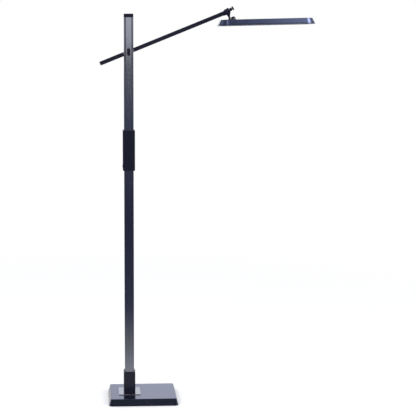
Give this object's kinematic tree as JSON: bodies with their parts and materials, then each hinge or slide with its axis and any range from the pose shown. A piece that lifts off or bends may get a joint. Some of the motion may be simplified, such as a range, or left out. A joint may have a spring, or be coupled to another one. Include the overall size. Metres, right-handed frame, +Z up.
{
  "type": "floor lamp",
  "caption": "Floor lamp with a square column on a weighted slab base, a slanting arm pivoted through the column and a long shallow LED head that rolls and tilts.",
  "frame": {"origin": "on the floor under the axis of the column, on the underside of the base pad", "axes": "+Z up the column, +X the way the arm and head point, -Y towards the face with the tension knob"},
  "size_m": [0.8584, 0.2042, 1.6108],
  "materials": {
    "black_rubber": "matte",
    "cast_iron": "matte",
    "gloss_grey_metal": "gloss",
    "plated_steel": "satin",
    "stainless": "brushed",
    "black_metal": "satin",
    "gunmetal_tube": "satin",
    "black_plastic": "matte",
    "black_aluminium": "satin",
    "blue_grey_aluminium": "gloss",
    "satin_zinc": "satin",
    "bare_aluminium": "satin",
    "brass": "satin",
    "fibre": "matte",
    "chrome": "polished",
    "opal_acrylic": "satin",
    "white_reflector": "matte",
    "led_board": "matte",
    "led_phosphor": "satin"
  },
  "bodies": {
    "stand": {"base_pad": "black_rubber", "base_cover": "gloss_grey_metal", "base_weight": "cast_iron", "cover_screws": "plated_steel", "foot_bolt": "plated_steel", "foot_washer": "plated_steel", "base_spacer": "plated_steel", "cord_inlet": "black_plastic", "trim_plate": "stainless", "lower_socket": "black_metal", "socket_screws": "plated_steel", "lower_column": "gunmetal_tube", "upper_column": "gunmetal_tube", "column_cap": "black_plastic", "column_joiner": "plated_steel", "mid_sleeve": "black_metal", "sleeve_screws": "plated_steel", "switch_body": "black_plastic", "column_lead": "black_plastic", "pivot_bolt": "plated_steel", "friction_washers": "fibre", "knob_plate": "plated_steel"},
    "switch_button": {"switch_button": "black_plastic"},
    "tension_knob": {"tension_knob": "black_plastic", "knob_insert": "brass"},
    "arm": {"pivot_block": "satin_zinc", "front_arm": "black_aluminium", "rear_arm": "black_aluminium", "rear_arm_cap": "black_plastic", "arm_screws": "plated_steel", "arm_lead": "black_plastic", "end_fitting": "black_metal", "swivel_washer": "plated_steel"},
    "neck": {"swivel_collar": "black_metal"},
    "swivel_knob": {"swivel_knob": "black_plastic", "knob_ring": "chrome"},
    "head": {"head_housing": "blue_grey_aluminium", "diffuser_frame": "blue_grey_aluminium", "frame_screws": "plated_steel", "light_diffuser": "opal_acrylic", "heat_spreader": "bare_aluminium", "led_board": "led_board", "led_chips": "led_phosphor", "reflector": "white_reflector", "head_bracket": "black_metal", "bracket_bolts": "plated_steel", "bracket_screws": "chrome", "bracket_nuts": "plated_steel"}
  },
  "joints": [
    {"name": "arm_tilt", "type": "hinge", "parent": "stand", "child": "arm", "pos_m": [0, 0, 1.431], "axis": [0, -1, 0], "range_deg": [-36.8, 23.2]},
    {"name": "tension_knob_turn", "type": "hinge", "parent": "stand", "child": "tension_knob", "pos_m": [0, -0.025, 1.431], "axis": [0, -1, 0], "range_deg": [-30, 180]},
    {"name": "switch_press", "type": "slide", "parent": "stand", "child": "switch_button", "axis": [1, 0, 0], "range_m": [0, 0.0012], "stiffness_N_per_m": 600, "springref_m": -0.0015},
    {"name": "head_roll", "type": "hinge", "parent": "arm", "child": "neck", "pos_m": [0.39312, 0, 1.58985], "axis": [0.866, 0, 0.5], "range_deg": [-75, 75]},
    {"name": "end_knob_turn", "type": "hinge", "parent": "arm", "child": "swivel_knob", "pos_m": [0.41044, 0, 1.59985], "axis": [0.866, 0, 0.5], "range_deg": [-30, 270]},
    {"name": "head_tilt", "type": "hinge", "parent": "neck", "child": "head", "pos_m": [0.40425, 0, 1.56198], "axis": [0, -1, 0], "range_deg": [-8, 40]}
  ]
}
